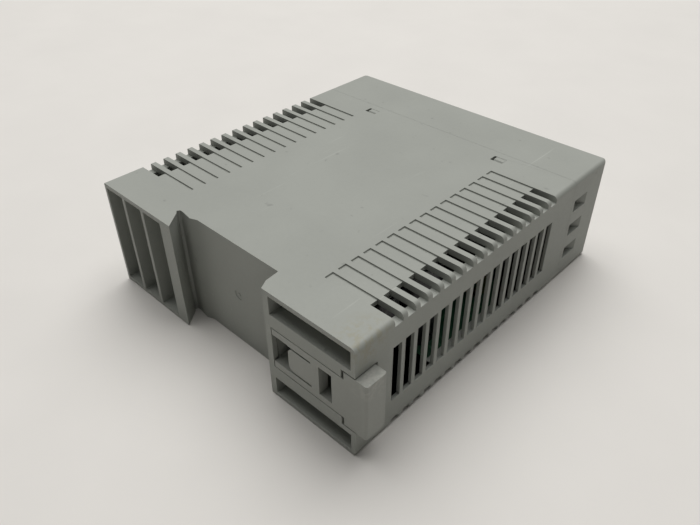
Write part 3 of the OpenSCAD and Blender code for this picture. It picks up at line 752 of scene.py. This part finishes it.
def turned_bodies(profile: np.ndarray, places: np.ndarray, sides: int) -> tuple[np.ndarray, Faces]:
    """Turned bodies, one at each place, all from one profile.

    A point is place + (r cos a, r sin a, h), where (r, h) runs along the profile and a runs once
    round.

    Args:
        profile: rows of radius and height.
        places: one row of X, Y, Z for each body.
        sides: points round each ring.

    Returns:
        The points and the faces.
    """
    a = np.linspace(0, 2 * np.pi, sides, endpoint=False)
    ring = np.stack((np.cos(a), np.sin(a), np.zeros(sides)), -1)
    body = profile[:, None, :1] * ring[None] + profile[:, None, 1:] * np.array([0.0, 0.0, 1.0])
    points = places[:, None, None, :] + body[None]
    return points, capped_stacks(len(profile), sides, len(places))


def bevelled_blocks(lo: np.ndarray, hi: np.ndarray, chamfer: float) -> tuple[np.ndarray, Faces]:
    """Blocks whose top and bottom edges are chamfered.

    Each block is four rectangular rings: inset at the bottom, full, full, and inset at the top.

    Args:
        lo: lowest corner of each block.
        hi: highest corner of each block.
        chamfer: size of the chamfer.

    Returns:
        The points and the faces.
    """
    inset = np.array([chamfer, 0.0, 0.0, chamfer])[None, :, None]
    height = np.stack((lo[:, 2], lo[:, 2] + chamfer, hi[:, 2] - chamfer, hi[:, 2]), 1)[:, :, None]
    x0, x1 = lo[:, None, None, 0] + inset, hi[:, None, None, 0] - inset
    y0, y1 = lo[:, None, None, 1] + inset, hi[:, None, None, 1] - inset
    x = np.concatenate((x0, x1, x1, x0), 2)
    y = np.concatenate((y0, y0, y1, y1), 2)
    points = np.stack((x, y, np.broadcast_to(height, x.shape)), -1)
    return points, capped_stacks(4, 4, len(lo))


@dataclass(frozen=True)
class Winding:
    """Turns of round wire laid on a toroid whose axis is along Y."""

    outer: float
    inner: float
    thick: float
    wire: float
    fit: float = 0.97
    bend: float = 0.75
    corner: int = 6
    sides: int = 10

    def section(self) -> tuple[np.ndarray, np.ndarray, np.ndarray]:
        """Path of one turn round the core's section, in the radial and axial directions.

        The path is a rounded rectangle: at parameter t its normal is (cos t, sin t), and its point
        is the middle of that quarter's corner plus the bend radius times the normal.

        Returns:
            The parameter, the radial place and the axial place of each point.
        """
        bend = self.wire * self.bend
        half_r = (self.outer - self.inner) / 2 + self.wire / 2 - bend
        half_y = self.thick / 2 + self.wire / 2 - bend
        t = (np.arange(4)[:, None] * np.pi / 2 + np.linspace(0, np.pi / 2, self.corner)[None]).reshape(-1)
        quarter = np.repeat(np.arange(4), self.corner)
        sign_r = np.array([1, -1, -1, 1])[quarter]
        sign_y = np.array([1, 1, -1, -1])[quarter]
        path_r = (self.outer + self.inner) / 2 + sign_r * half_r + bend * np.cos(t)
        return t, path_r, sign_y * half_y + bend * np.sin(t)

    def turns(self, core: np.ndarray, angles: np.ndarray) -> tuple[np.ndarray, Faces]:
        """Lay one turn at each angle.

        The wire's surface is the path plus its radius times (cos p along the path's normal + sin p
        along the toroid), all turned by the angle from X towards Z.

        Args:
            core: centre of the toroid.
            angles: place of each turn round the toroid, in radians.

        Returns:
            The points and the faces.
        """
        radius = self.wire / 2 * self.fit
        t, path_r, path_y = self.section()
        p = np.linspace(0, 2 * np.pi, self.sides, endpoint=False)
        out_r = path_r[:, None] + radius * np.cos(p) * np.cos(t)[:, None]
        out_y = path_y[:, None] + radius * np.cos(p) * np.sin(t)[:, None]
        along = np.broadcast_to(radius * np.sin(p), out_r.shape)
        a = angles[:, None, None]
        x = out_r * np.cos(a) - along * np.sin(a)
        z = out_r * np.sin(a) + along * np.cos(a)
        points = np.stack((x, np.broadcast_to(out_y, x.shape), z), -1) + core
        return points, wrapped_quads(len(t), self.sides, True, len(angles)).tolist()


@dataclass(frozen=True)
class CanLid:
    """Aluminium top of a can, pressed with a crossed relief score."""

    radius: float
    below: float = 0.3
    thick: float = 0.2
    score: float = 0.14
    rim_w: float = 0.25
    rings: int = 14
    sides: int = 48
    hub: float = 0.04
    aluminium: Colour = (0.74, 0.75, 0.76)

    def on(self, name: str, cans: tuple[str, ...]) -> None:
        """Put a lid on each can of a row.

        The height over a lid is its thickness, less half of that times exp(-(distance to the edge
        / rim width) squared), less the score's depth times exp(-(d / 2 depths) squared), where d is
        the distance to the nearer of two crossing diameters.

        Args:
            name: name of the piece.
            cans: the cans.
        """
        r = np.linspace(self.hub, 1.0, self.rings) * self.radius
        a = np.linspace(0, 2 * np.pi, self.sides, endpoint=False)
        x, y = r[:, None] * np.cos(a), r[:, None] * np.sin(a)
        near = np.minimum(np.abs(x + y), np.abs(x - y)) / math.sqrt(2)
        rim = np.exp(-(((self.radius - r) / self.rim_w) ** 2))[:, None]
        height = self.thick * (1 - 0.5 * rim) - self.score * np.exp(-((near / (self.score * 2)) ** 2))
        base = np.stack((x[-1], y[-1], np.zeros(self.sides)), -1)[None]
        lid = np.concatenate((np.stack((x, y, height), -1), base))
        places = np.array([(*centre(can)[:2], top(can) - self.below) for can in cans])
        points = places[:, None, None, :] + lid[None]
        finish = Metal(f"{name}_aluminium", self.aluminium, 0.3, line=0.2).material()
        faces = capped_stacks(self.rings + 1, self.sides, len(cans))
        make_piece(name, points, faces, finish)


# ---------- Enclosure ----------


@dataclass
class Enclosure:
    """Housing, front cap and latch."""

    edge: float = 0.07
    weld: float = 0.002
    flat: float = 0.2
    sharp: float = 30.0
    grey: Colour = (0.315, 0.328, 0.300)
    latch_grey: Colour = (0.320, 0.330, 0.302)
    worn_corner: TonePatch = TonePatch((52.4, -2.0, 17.0), 9.0, (0.30, 0.29, 0.22))
    # lighter patch on the latch head
    pale_head_patch: TonePatch = TonePatch((56.0, -4.0, 8.7), 7.0, (0.42, 0.42, 0.385))

    def merged(self, node: str) -> bpy.types.Mesh:
        """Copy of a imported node's mesh as one closed surface, for the edges to be found on.

        Args:
            node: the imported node.

        Returns:
            The mesh, with its triangles merged, flat neighbours joined and sharp edges marked.
        """
        mesh = frame["nodes"][node].data.copy()
        bm = bmesh.new()
        bm.from_mesh(mesh)
        bmesh.ops.remove_doubles(bm, verts=bm.verts, dist=mm(self.weld))
        bmesh.ops.dissolve_limit(bm, angle_limit=math.radians(self.flat), verts=bm.verts, edges=bm.edges)
        for face in bm.faces:
            face.smooth = True
        for line in bm.edges:
            line.smooth = line.calc_face_angle(0.0) < math.radians(self.sharp)
        bm.to_mesh(mesh)
        bm.free()
        return mesh

    def softened(self, node: str) -> bpy.types.Object:
        """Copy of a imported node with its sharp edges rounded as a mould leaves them.

        Args:
            node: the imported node.

        Returns:
            The new piece, which stands for the node.
        """
        name = f"{node}_moulding"
        mesh = self.merged(node)
        mesh.name = name
        piece = bpy.data.objects.new(name, mesh)
        bpy.context.scene.collection.objects.link(piece)
        bevel = piece.modifiers.new("edge", "BEVEL")
        bevel.width = mm(self.edge)
        bevel.segments = 2
        bevel.limit_method = "ANGLE"
        bevel.angle_limit = math.radians(self.sharp)
        bevel.use_clamp_overlap = False
        bevel.miter_outer = "MITER_ARC"
        level = piece.modifiers.new("level", "WEIGHTED_NORMAL")
        level.weight = 100
        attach(piece, frame["nodes"][node]["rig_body"])
        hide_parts(node)
        log.info("%s: %d faces", name, len(mesh.polygons))
        return piece

    def build(self) -> None:
        """Round the edges of the three mouldings and dress them."""
        shell = Moulding("enclosure_plastic", self.grey, scratches=0.5, tone_patch=self.worn_corner).material()
        # the latch plastic is lighter in a patch on its head
        foot = Moulding("latch_plastic", self.latch_grey, roughness=0.5, tone_patch=self.pale_head_patch).material()
        for node, finish in (("housing", shell), ("front_cap", shell), ("din_latch", foot)):
            dress(self.softened(node), finish)


@dataclass
class FrontPanel:
    """Marking plate, light pipe, indicator and voltage trimmer."""

    plate: Colour = (0.70, 0.70, 0.68)
    lens: Colour = (0.62, 0.90, 0.62)
    diode: Colour = (0.20, 0.62, 0.22)
    blue: Colour = (0.020, 0.075, 0.33)
    white: Colour = (0.78, 0.78, 0.75)

    def build(self) -> None:
        """Dress the parts that show at the front."""
        plate = Moulding("label_plastic", self.plate, roughness=0.4, grain_depth=0.004).material()
        dress_nodes(plate, "marking_plate")
        dress_nodes(Clear("clear_plastic", self.lens, roughness=0.12).material(), "led_lens")
        dress_nodes(Clear("led_epoxy", self.diode, roughness=0.15).material(), "status_led")
        dress_nodes(Lacquer("trimmer_plastic", self.blue, wave_depth=0.008).material(), "trimmer_body")
        dress_nodes(Moulding("rotor_plastic", self.white, roughness=0.4).material(), "trimmer_rotor")


# ---------- Terminals ----------


@dataclass
class TerminalBlocks:
    """Two groups of three poles with cages, screws and clamp bars."""

    poles: tuple[int, ...] = (1, 2, 3)
    sides: tuple[str, ...] = ("input", "output")
    moulding: Colour = (0.030, 0.032, 0.030)
    zinc: Colour = (0.62, 0.62, 0.60)
    yellow_zinc: Colour = (0.62, 0.60, 0.52)
    brass: Colour = (0.66, 0.52, 0.26)

    def build(self) -> None:
        """Dress both groups."""
        cage = Metal("zinc_steel", self.zinc, 0.32, grain=Grain.ALONG_Y).material()
        screw = Metal("screw_steel", self.yellow_zinc, 0.28, line=0.1, grain=Grain.ALONG_Z).material()
        body = Moulding("terminal_plastic", self.moulding, roughness=0.45).material()
        bar = Metal("contact_brass", self.brass, 0.3).material()
        for side in self.sides:
            dress_nodes(body, f"{side}_terminal_body")
            dress_nodes(bar, f"{side}_contacts")
            dress_nodes(cage, *(f"{side}_clamp_{n}" for n in self.poles))
            dress_nodes(screw, *(f"{side}_screw_{n}" for n in self.poles))


# ---------- Boards ----------


def two_leads(half: float, along_y: bool = False) -> np.ndarray:
    """Places of two leads on either side of a part's middle, in X or in Y."""
    return np.array([[0.0, -half], [0.0, half]] if along_y else [[-half, 0.0], [half, 0.0]])


def lead_rows(xs: tuple[float, ...], ys: tuple[float, ...]) -> np.ndarray:
    """Places of leads at every pairing of some X and Y offsets from a part's middle."""
    return np.array([[x, y] for y in ys for x in xs])


@dataclass
class SolderJoints:
    """Solder joint under each lead of the main board."""

    radius: float = 0.95
    wire: float = 0.28
    height: float = 0.8
    rings: int = 4
    sides: int = 10
    tin: Colour = (0.72, 0.72, 0.70)
    leads: dict[str, np.ndarray] = field(default_factory=lambda: {
        "bulk_capacitor_1": two_leads(3.75),
        "bulk_capacitor_2": two_leads(3.75),
        "output_capacitor_1": two_leads(2.5, True),
        "output_capacitor_2": two_leads(2.5, True),
        "output_capacitor_3": two_leads(2.5, True),
        "x_capacitor": two_leads(7.5),
        "varistor": two_leads(3.0),
        "inrush_thermistor": two_leads(2.5),
        "bridge_rectifier": lead_rows((-7.5, -2.5, 2.5, 7.5), (0.0,)),
        "line_choke_base": lead_rows((-5.0, 5.0), (-3.0, 3.0)),
        "output_choke_core": two_leads(5.0),
        "switching_transistor": lead_rows((-2.5, 0.0, 2.5), (0.0,)),
        "output_rectifier": lead_rows((-2.5, 0.0, 2.5), (0.0,)),
        "fuse_clips": two_leads(7.0, True),
        "transformer_bobbin": lead_rows((-4.0, 0.0, 4.0), (-9.0, 9.0)),
        "control_chip": lead_rows((-3.8, -1.3, 1.3, 3.8), (-3.0, 3.0)),
    })

    def build(self) -> None:
        """Turn one cone for each lead.

        A cone's radius falls from the full radius to the wire's share of it, as the square of what
        is left of its height.
        """
        level = np.linspace(0, 1, self.rings)
        radius = self.radius * ((1 - level) ** 2 * (1 - self.wire) + self.wire)
        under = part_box("main_board")[0].z / MILLI
        flat = np.concatenate([centre(node)[:2] + offsets for node, offsets in self.leads.items()])
        places = np.column_stack((flat, np.full(len(flat), under)))
        points, faces = turned_bodies(np.stack((radius, -self.height * level), -1), places, self.sides)
        solder = Metal("solder", self.tin, 0.25, line=0.4).material()
        make_piece("solder_joints", points, faces, solder)


@dataclass
class ChipParts:
    """Field of small ceramic parts with tinned ends between the power parts."""

    size: Point = (2.0, 1.2, 0.55)
    first: tuple[float, float] = (-15.5, 67.0)
    pitch: tuple[float, float] = (3.6, 2.4)
    cols: int = 5
    rows: int = 4
    end_w: float = 0.35
    step: float = 0.05
    step_top: float = 0.04
    body_edge: float = 0.06
    end_edge: float = 0.08
    ceramic: Colour = (0.012, 0.012, 0.014)
    tin: Colour = (0.72, 0.72, 0.70)

    def build(self) -> None:
        """Stand the bodies on the board, each a step smaller than the ends that wrap it."""
        i, j = np.meshgrid(np.arange(self.cols), np.arange(self.rows), indexing="ij")
        x = self.first[0] + self.pitch[0] * i.reshape(-1)
        y = self.first[1] + self.pitch[1] * j.reshape(-1)
        low = np.stack((x, y, np.full(x.shape, top("main_board"))), -1)
        size = np.array(self.size)
        lo = low + np.array([self.end_w, self.step, 0.0])
        hi = low + size - np.array([self.end_w, self.step, self.step_top])
        points, faces = bevelled_blocks(lo, hi, self.body_edge)
        ceramic = Lacquer("chip_ceramic", self.ceramic, wave_depth=0.005).material()
        make_piece("chip_bodies", points, faces, ceramic, smooth=False)
        far = np.array([size[0] - self.end_w, 0.0, 0.0])
        starts = np.concatenate((low, low + far))
        end = np.array([self.end_w, size[1], size[2]])
        points, faces = bevelled_blocks(starts, starts + end, self.end_edge)
        tin = Metal("chip_tin", self.tin, 0.3, line=0.3).material()
        make_piece("chip_ends", points, faces, tin, smooth=False)


@dataclass
class Boards:
    """Both circuit boards, the parts that join them, and what is soldered to them."""

    film: Colour = (0.48, 0.43, 0.29)
    black: Colour = (0.012, 0.012, 0.014)

    def build(self) -> None:
        """Dress the boards and add solder joints and small parts."""
        dress_nodes(Laminate("board_laminate").material(), "main_board", "front_board")
        film = Moulding("insulation_film", self.film, roughness=0.45, grain=0.8).material()
        dress_nodes(film, "insulating_sheet")
        dress_nodes(Moulding("header_plastic", self.black, roughness=0.4).material(), "board_header")
        SolderJoints().build()
        ChipParts().build()


# ---------- Mains filter ----------


@dataclass
class MainsFilter:
    """Fuse, inrush limiter, surge part, filter capacitors and line choke."""

    brass: Colour = (0.66, 0.52, 0.26)
    nickel: Colour = (0.70, 0.69, 0.66)
    glass: Colour = (0.93, 0.96, 0.97)
    dark_green: Colour = (0.012, 0.028, 0.018)
    dark_blue: Colour = (0.006, 0.012, 0.042)
    # near-black on the X capacitor is painted shade, so that it reads dark through the vent slots
    x_cap_painted_shade_grey: Colour = (0.020, 0.022, 0.024)
    black: Colour = (0.012, 0.012, 0.014)
    core_green: Colour = (0.016, 0.075, 0.030)
    winding: Winding = Winding(outer=9.0, inner=5.0, thick=7.0, wire=1.1)
    turns: int = 9
    sweep: float = 122.0

    def choke(self, copper: bpy.types.Material) -> None:
        """Two windings of separate turns on opposite halves of the core."""
        half = math.radians(self.sweep / 2)
        side = np.linspace(-half, half, self.turns)
        angles = np.concatenate((side, side + np.pi))
        points, faces = self.winding.turns(centre("line_choke_core"), angles)
        piece = make_piece("line_choke_turns", points, faces, copper)
        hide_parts("line_choke_windings")

    def build(self, copper: bpy.types.Material) -> None:
        """Dress the mains side and wind its choke.

        Args:
            copper: finish of the enamelled wire.
        """
        dress_nodes(Clear("fuse_glass", self.glass, 0.02).material(), "fuse_tube")
        dress_nodes(Metal("nickel", self.nickel, 0.18).material(), "fuse_caps")
        dress_nodes(Metal("clip_brass", self.brass, 0.3, grain=Grain.ALONG_Z).material(), "fuse_clips")
        dress_nodes(Lacquer("thermistor_coat", self.dark_green, 0.3).material(), "inrush_thermistor")
        dress_nodes(Lacquer("varistor_coat", self.dark_blue).material(), "varistor", "y_capacitors")
        # the X capacitor is painted near-black as painted shade, so that it shows dark through the vents
        box = Lacquer("film_box", self.x_cap_painted_shade_grey, 0.3, wave=3.0, wave_depth=0.02).material()
        dress_nodes(box, "x_capacitor")
        dress_nodes(Moulding("choke_base_plastic", self.black, roughness=0.4).material(), "line_choke_base")
        dress_nodes(Ferrite("choke_ferrite", self.core_green, coat=0.4).material(), "line_choke_core")
        self.choke(copper)


# ---------- Primary side ----------


@dataclass
class PrimarySide:
    """Rectifier bridge, bulk capacitors and the switching device on its heatsink."""

    black: Colour = (0.012, 0.012, 0.014)
    aluminium: Colour = (0.70, 0.71, 0.72)
    steel: Colour = (0.60, 0.59, 0.56)
    can_r: float = 8.0
    rim: float = 0.9

    def build(self) -> None:
        """Dress the primary side and lid its capacitors."""
        cans = ("bulk_capacitor_1", "bulk_capacitor_2")
        places = tuple(tuple(centre(can)[:2].tolist()) for can in cans)
        dress_nodes(Sleeve("bulk_sleeve", places, self.can_r).material(), *cans)
        CanLid(self.can_r - self.rim).on("bulk_lids", cans)
        case = Lacquer("device_case", self.black, 0.38, wave=0.6, wave_depth=0.01).material()
        dress_nodes(case, "bridge_rectifier", "switching_transistor", "output_rectifier", "control_chip")
        sink = Metal("heatsink_aluminium", self.aluminium, 0.36, grain=Grain.ALONG_Z).material()
        dress_nodes(sink, "transistor_heatsink", "output_heatsink")
        dress_nodes(Metal("sink_screw_steel", self.steel, 0.3, line=0.1).material(), "heatsink_screws")


# ---------- Transformer ----------


@dataclass
class Transformer:
    """Two ferrite halves round a taped winding on its bobbin."""

    black: Colour = (0.012, 0.012, 0.014)

    def build(self) -> None:
        """Dress the core, the bobbin and the winding."""
        dress_nodes(Ferrite("ferrite").material(), "transformer_core_lower", "transformer_core_upper")
        dress_nodes(Moulding("bobbin_plastic", self.black, roughness=0.4).material(), "transformer_bobbin")
        dress_nodes(Tape("winding_tape").material(), "transformer_winding")


# ---------- Output side ----------


@dataclass
class OutputSide:
    """Output capacitors, storage choke, feedback parts and load resistors."""

    can_r: float = 5.0
    rim: float = 0.9
    powder: Colour = (0.46, 0.40, 0.065)
    opto: Colour = (0.78, 0.78, 0.72)
    winding: Winding = Winding(outer=7.0, inner=3.8, thick=6.0, wire=1.0)
    turns: int = 16
    sweep: float = 284.0

    def choke(self, copper: bpy.types.Material) -> None:
        """One winding of separate turns, open at the top of the core."""
        half = math.radians(self.sweep / 2)
        angles = -np.pi / 2 + np.linspace(-half, half, self.turns)
        points, faces = self.winding.turns(centre("output_choke_core"), angles)
        piece = make_piece("output_choke_turns", points, faces, copper)
        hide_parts("output_choke_winding")

    def build(self, copper: bpy.types.Material) -> None:
        """Dress the output side, lid its capacitors and wind its choke.

        Args:
            copper: finish of the enamelled wire.
        """
        cans = ("output_capacitor_1", "output_capacitor_2", "output_capacitor_3")
        places = tuple(tuple(centre(can)[:2].tolist()) for can in cans)
        dress_nodes(Sleeve("output_sleeve", places, self.can_r, stripe_w=2.2).material(), *cans)
        CanLid(self.can_r - self.rim, score=0.12).on("output_lids", cans)
        dress_nodes(Ferrite("iron_powder", self.powder, coat=0.5).material(), "output_choke_core")
        dress_nodes(Moulding("opto_plastic", self.opto, roughness=0.4).material(), "optocoupler")
        resistors = Banded("resistor_coat", float(centre("power_resistors")[1]))
        dress_nodes(resistors.material(), "power_resistors")
        self.choke(copper)


# ---------- Studio ----------


@dataclass(frozen=True)
class View:
    """Camera at a point, turned by azimuth about Z, tipped down by elevation and rolled."""

    eye: Point = (118.96, -77.04, 113.58)
    azimuth: float = 43.75
    elevation: float = 37.27
    roll: float = -0.36
    lens: float = 33.90
    sensor: float = 36.0
    nearest: float = 10.0
    furthest: float = 20000.0

    def build(self) -> None:
        """Make the camera and point it."""
        a, e, r = (math.radians(angle) for angle in (self.azimuth, self.elevation, self.roll))
        ahead = Vector((-math.sin(a) * math.cos(e), math.cos(a) * math.cos(e), -math.sin(e)))
        level = Vector((math.cos(a), math.sin(a), 0.0))
        right = level * math.cos(r) + level.cross(ahead) * math.sin(r)
        data = bpy.data.cameras.new("camera")
        data.lens = self.lens
        data.sensor_width = self.sensor
        data.clip_start = mm(self.nearest)
        data.clip_end = mm(self.furthest)
        camera = bpy.data.objects.new("camera", data)
        turn = Matrix((right, right.cross(ahead), -ahead)).transposed().to_4x4()
        camera.matrix_world = Matrix.Translation(Vector(mm(self.eye))) @ turn
        bpy.context.scene.collection.objects.link(camera)
        bpy.context.scene.camera = camera


@dataclass(frozen=True)
class Softbox:
    """Square light that hangs over the device."""

    place: Point = (-320.0, 400.0, 1300.0)
    aim: Point = (0.0, 50.0, 0.0)
    side: float = 1700.0
    watts: float = 26.5
    colour: Colour = (1.0, 0.99, 0.975)

    def build(self) -> None:
        """Hang the light and turn it to its aim."""
        data = bpy.data.lights.new("overhead", "AREA")
        data.size = mm(self.side)
        data.energy = self.watts
        data.color = self.colour
        lamp = bpy.data.objects.new("overhead", data)
        lamp.location = mm(self.place)
        towards = Vector(mm(self.aim)) - Vector(mm(self.place))
        lamp.rotation_euler = towards.to_track_quat("-Z", "Y").to_euler()
        bpy.context.scene.collection.objects.link(lamp)


@dataclass
class Studio:
    """Pale floor, soft light, dim surroundings and the camera."""

    floor_colour: Colour = (0.745, 0.726, 0.695)
    floor_half: float = 4000.0
    floor_mottle: float = 30.0
    floor_dim: float = 0.97
    sky_colour: Colour = (1.0, 0.99, 0.97)
    sky_strength: float = 0.12

    def floor(self) -> None:
        """Wide flat sheet that the device lies on, with a slow mottle."""
        low = CAD_BOX[0].z
        half = mm(self.floor_half)
        mesh = bpy.data.meshes.new("floor")
        corners = [(-half, -half, low), (half, -half, low), (half, half, low), (-half, half, low)]
        mesh.from_pydata(corners, [], [range(4)])
        piece = bpy.data.objects.new("floor", mesh)
        bpy.context.scene.collection.objects.link(piece)
        g = Graph("pale_floor")
        shade = g.middle(g.noise(self.floor_mottle, 4.0), 0.0, 1.0)
        tone = g.mix(shade, tinted(self.floor_colour, self.floor_dim), self.floor_colour)
        g.set(Base_Color=tone, Roughness=0.6, Specular_IOR_Level=0.3)
        dress(piece, g.material)

    def sky(self) -> None:
        """Dim even light from all round."""
        world = bpy.data.worlds.new("sky")
        world.use_nodes = True
        background = world.node_tree.nodes["Background"].inputs
        background["Color"].default_value = (*self.sky_colour, 1.0)
        background["Strength"].default_value = self.sky_strength
        bpy.context.scene.world = world
        bpy.context.scene.view_settings.view_transform = "Standard"

    def build(self) -> None:
        """Set the camera, the floor, the surroundings and the light."""
        View().build()
        self.floor()
        self.sky()
        Softbox().build()


def main() -> None:
    """Build each sub-assembly in order."""
    logging.basicConfig(level=logging.INFO, format="%(message)s")
    copper = Enamel("copper_wire").material()
    Studio().build()
    Enclosure().build()
    FrontPanel().build()
    TerminalBlocks().build()
    Boards().build()
    MainsFilter().build(copper)
    PrimarySide().build()
    Transformer().build()
    OutputSide().build(copper)


if __name__ == "__main__":
    main()
